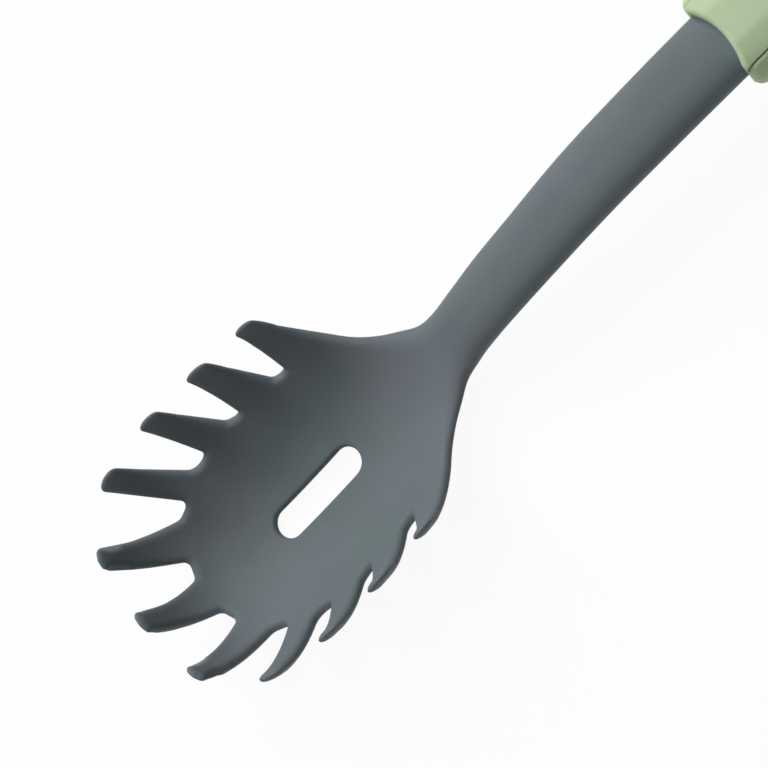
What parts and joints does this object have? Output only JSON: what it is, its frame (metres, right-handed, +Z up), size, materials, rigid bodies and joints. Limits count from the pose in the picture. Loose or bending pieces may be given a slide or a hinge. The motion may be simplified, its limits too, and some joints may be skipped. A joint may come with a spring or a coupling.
{
  "type": "pasta server",
  "caption": "Nylon pasta server: egg-shaped toothed bowl with a drain slot on an arched oval shaft, and an arched plastic handle with soft side grips and a hanging hole.",
  "frame": {"origin": "middle of the underside of the whole object, on the plane it rests on", "axes": "+X along the object from the handle's butt to the front tine, +Y to the object's left seen from above with the tines ahead, +Z up, the way the bowl opens"},
  "size_m": [0.3146, 0.0686, 0.0322],
  "materials": {
    "charcoal_nylon": "satin matte moulded nylon",
    "sage_handle": "matte sage green",
    "sage_grip": "soft-touch sage green",
    "pin_steel": "plain steel pin"
  },
  "bodies": {
    "root": {"head_and_shaft": "charcoal_nylon", "handle_body": "sage_handle", "right_side_grip": "sage_grip", "left_side_grip": "sage_grip", "locking_pin": "pin_steel"}
  },
  "joints": []
}
